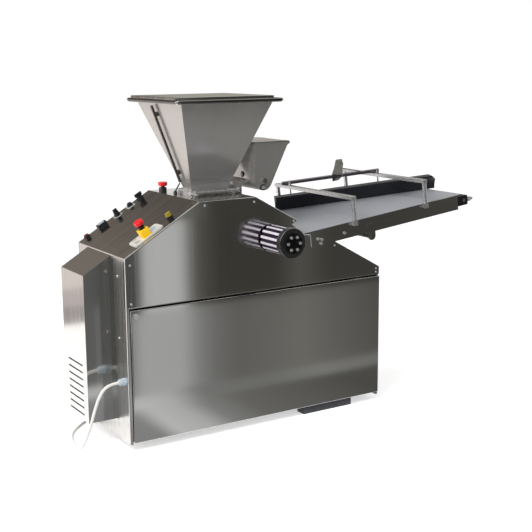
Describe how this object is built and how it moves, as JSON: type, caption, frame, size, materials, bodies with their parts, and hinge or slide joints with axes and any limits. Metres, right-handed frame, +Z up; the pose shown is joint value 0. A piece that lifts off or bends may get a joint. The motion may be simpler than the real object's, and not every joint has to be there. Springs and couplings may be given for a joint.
{
  "type": "volumetric dough divider",
  "caption": "Floor-standing stainless dough divider: tapered hopper over a ram chamber and pocket drum, portion handwheel, flour duster and inclined outfeed belt with an oblique rounding bar.",
  "frame": {"origin": "floor level under the middle of the machine's outline, the cord left out", "axes": "+X from the control end towards the outfeed conveyor, +Y from the operator's side to the far side, +Z up"},
  "size_m": [1.9736, 0.8524, 1.4014],
  "materials": {
    "stainless": "satin brushed sheet",
    "frame_steel": "grey paint",
    "skid_paint": "dark blue-grey paint",
    "bright_steel": "polished",
    "machined_steel": "machined",
    "cast_grey": "machined casting",
    "dark_steel": "blackened",
    "roller_metal": "turned",
    "belt_cover": "matt",
    "bar_plastic": "matt",
    "black_plastic": "matt",
    "red_plastic": "gloss",
    "yellow_plastic": "gloss",
    "label_white": "satin",
    "olive_plastic": "gloss",
    "gland_grey": "matt",
    "cord_sheath": "matt"
  },
  "bodies": {
    "machine": {"base_frame": "frame_steel", "skid_feet": "skid_paint", "near_upper_panel": "stainless", "far_panel": "stainless", "top_covers": "stainless", "lower_cover": "stainless", "end_panels": "stainless", "vent_box": "stainless", "electrics_box": "frame_steel", "dough_chamber": "cast_grey", "ram_cylinder": "machined_steel", "drum_cheeks": "machined_steel", "drive_chain": "dark_steel", "gear_motor": "frame_steel", "spindle_bush": "machined_steel", "hopper_seat": "stainless", "switch_lead": "black_plastic", "duster_trough": "stainless", "conveyor_frame": "stainless", "conveyor_belt": "belt_cover", "tension_blocks": "black_plastic", "conveyor_supports": "stainless", "portal_frames": "bright_steel", "tie_rod": "machined_steel", "screws_and_bolts": "bright_steel", "legend_plate": "label_white", "estop_box": "yellow_plastic", "control_bezels": "black_plastic", "cable_gland": "gland_grey", "power_cord": "cord_sheath", "cord_coil": "cord_sheath", "cord_tie": "black_plastic", "cord_plug": "gland_grey"},
    "door": {"side_door": "stainless"},
    "lock": {"door_lock": "bright_steel"},
    "hopper": {"hopper": "stainless", "rim_rod": "bright_steel", "lid_switch": "gland_grey"},
    "hopper_lid": {"hopper_lid": "stainless"},
    "clamp": {"clamp_rod": "bright_steel"},
    "ram": {"ram_piston": "machined_steel"},
    "drum": {"divider_drum": "machined_steel", "measuring_pistons": "label_white", "drum_shaft": "machined_steel"},
    "motor_sprocket": {"motor_sprocket": "machined_steel"},
    "handwheel": {"portion_handwheel": "bright_steel", "handwheel_cap": "dark_steel"},
    "duster_roller": {"duster_roller": "machined_steel"},
    "duster_lid": {"duster_lid": "stainless"},
    "drive_roller": {"drive_roller": "roller_metal"},
    "tail_roller": {"tail_roller": "roller_metal"},
    "rounding_bar": {"rounding_bar": "bar_plastic", "hanger_screws": "bright_steel"},
    "near_stop": {"near_stop_head": "red_plastic"},
    "far_stop": {"far_stop_head": "red_plastic"},
    "stop_button": {"stop_button": "red_plastic"},
    "start_button": {"start_button": "black_plastic"},
    "speed_knob": {"speed_knob": "black_plastic"},
    "mode_knob": {"mode_knob": "black_plastic"},
    "key_knob": {"key_knob": "olive_plastic"}
  },
  "joints": [
    {"name": "door_swing", "type": "hinge", "parent": "machine", "child": "door", "pos_m": [0.3978, -0.2045, 0.3], "axis": [0, 0, 1], "range_deg": [0, 100]},
    {"name": "lock_turn", "type": "hinge", "parent": "door", "child": "lock", "pos_m": [-0.8032, -0.2125, 0.559], "axis": [0, 1, 0], "range_deg": [0, 90]},
    {"name": "hopper_tilt", "type": "hinge", "parent": "machine", "child": "hopper", "pos_m": [-0.3502, 0.1025, 1.0024], "axis": [-1, 0, 0], "range_deg": [0, 60]},
    {"name": "lid_open", "type": "hinge", "parent": "hopper", "child": "hopper_lid", "pos_m": [-0.3502, 0.2357, 1.393], "axis": [-1, 0, 0], "range_deg": [0, 100]},
    {"name": "clamp_turn", "type": "hinge", "parent": "machine", "child": "clamp", "pos_m": [-0.3502, -0.0505, 1.0024], "axis": [-1, 0, 0], "range_deg": [0, 90]},
    {"name": "ram_slide", "type": "slide", "parent": "machine", "child": "ram", "axis": [1, 0, 0], "range_m": [0, 0.155]},
    {"name": "drum_turn", "type": "hinge", "parent": "machine", "child": "drum", "pos_m": [-0.1732, 0.0255, 0.812], "axis": [0, 1, 0], "continuous": true},
    {"name": "motor_turn", "type": "hinge", "parent": "machine", "child": "motor_sprocket", "pos_m": [-0.1732, 0.1855, 0.253], "axis": [0, 1, 0], "continuous": true},
    {"name": "handwheel_turn", "type": "hinge", "parent": "machine", "child": "handwheel", "pos_m": [-0.1732, -0.2895, 0.812], "axis": [0, -1, 0], "continuous": true},
    {"name": "duster_roller_turn", "type": "hinge", "parent": "machine", "child": "duster_roller", "pos_m": [-0.1362, 0.0255, 1.04], "axis": [0, 1, 0], "continuous": true},
    {"name": "duster_lid_open", "type": "hinge", "parent": "machine", "child": "duster_lid", "pos_m": [-0.0032, 0.0255, 1.1995], "axis": [0, 1, 0], "range_deg": [0, 100]},
    {"name": "drive_roller_turn", "type": "hinge", "parent": "machine", "child": "drive_roller", "pos_m": [-0.02101, 0.0795, 0.78067], "axis": [0, 1, 0], "continuous": true},
    {"name": "tail_roller_turn", "type": "hinge", "parent": "machine", "child": "tail_roller", "pos_m": [0.90875, 0.0795, 0.88857], "axis": [0, 1, 0], "continuous": true},
    {"name": "bar_lift", "type": "slide", "parent": "machine", "child": "rounding_bar", "axis": [-0.1153, 0, 0.9933], "range_m": [0, 0.015]},
    {"name": "near_stop_press", "type": "slide", "parent": "machine", "child": "near_stop", "axis": [0.5099, 0, -0.8602], "range_m": [0, 0.006], "stiffness_N_per_m": 1200, "springref_m": -0.003},
    {"name": "far_stop_press", "type": "slide", "parent": "machine", "child": "far_stop", "axis": [0, 0, -1], "range_m": [0, 0.006], "stiffness_N_per_m": 1200, "springref_m": -0.003},
    {"name": "stop_button_press", "type": "slide", "parent": "machine", "child": "stop_button", "axis": [0.5099, 0, -0.8602], "range_m": [0, 0.004], "stiffness_N_per_m": 700, "springref_m": -0.002},
    {"name": "start_button_press", "type": "slide", "parent": "machine", "child": "start_button", "axis": [0.5099, 0, -0.8602], "range_m": [0, 0.004], "stiffness_N_per_m": 700, "springref_m": -0.002},
    {"name": "speed_knob_turn", "type": "hinge", "parent": "machine", "child": "speed_knob", "pos_m": [-0.67252, 0.2305, 0.90189], "axis": [-0.5099, 0, 0.8602], "range_deg": [-140, 140]},
    {"name": "mode_knob_turn", "type": "hinge", "parent": "machine", "child": "mode_knob", "pos_m": [-0.56758, 0.2185, 0.9641], "axis": [-0.5099, 0, 0.8602], "range_deg": [-45, 45]},
    {"name": "key_knob_turn", "type": "hinge", "parent": "machine", "child": "key_knob", "pos_m": [-0.62435, -0.1735, 0.93045], "axis": [-0.5099, 0, 0.8602], "range_deg": [0, 90]}
  ],
  "couplings": [
    {"joint": "motor_turn", "follows": "drum_turn", "ratio": 1.7143},
    {"joint": "tail_roller_turn", "follows": "drive_roller_turn", "ratio": 1}
  ]
}
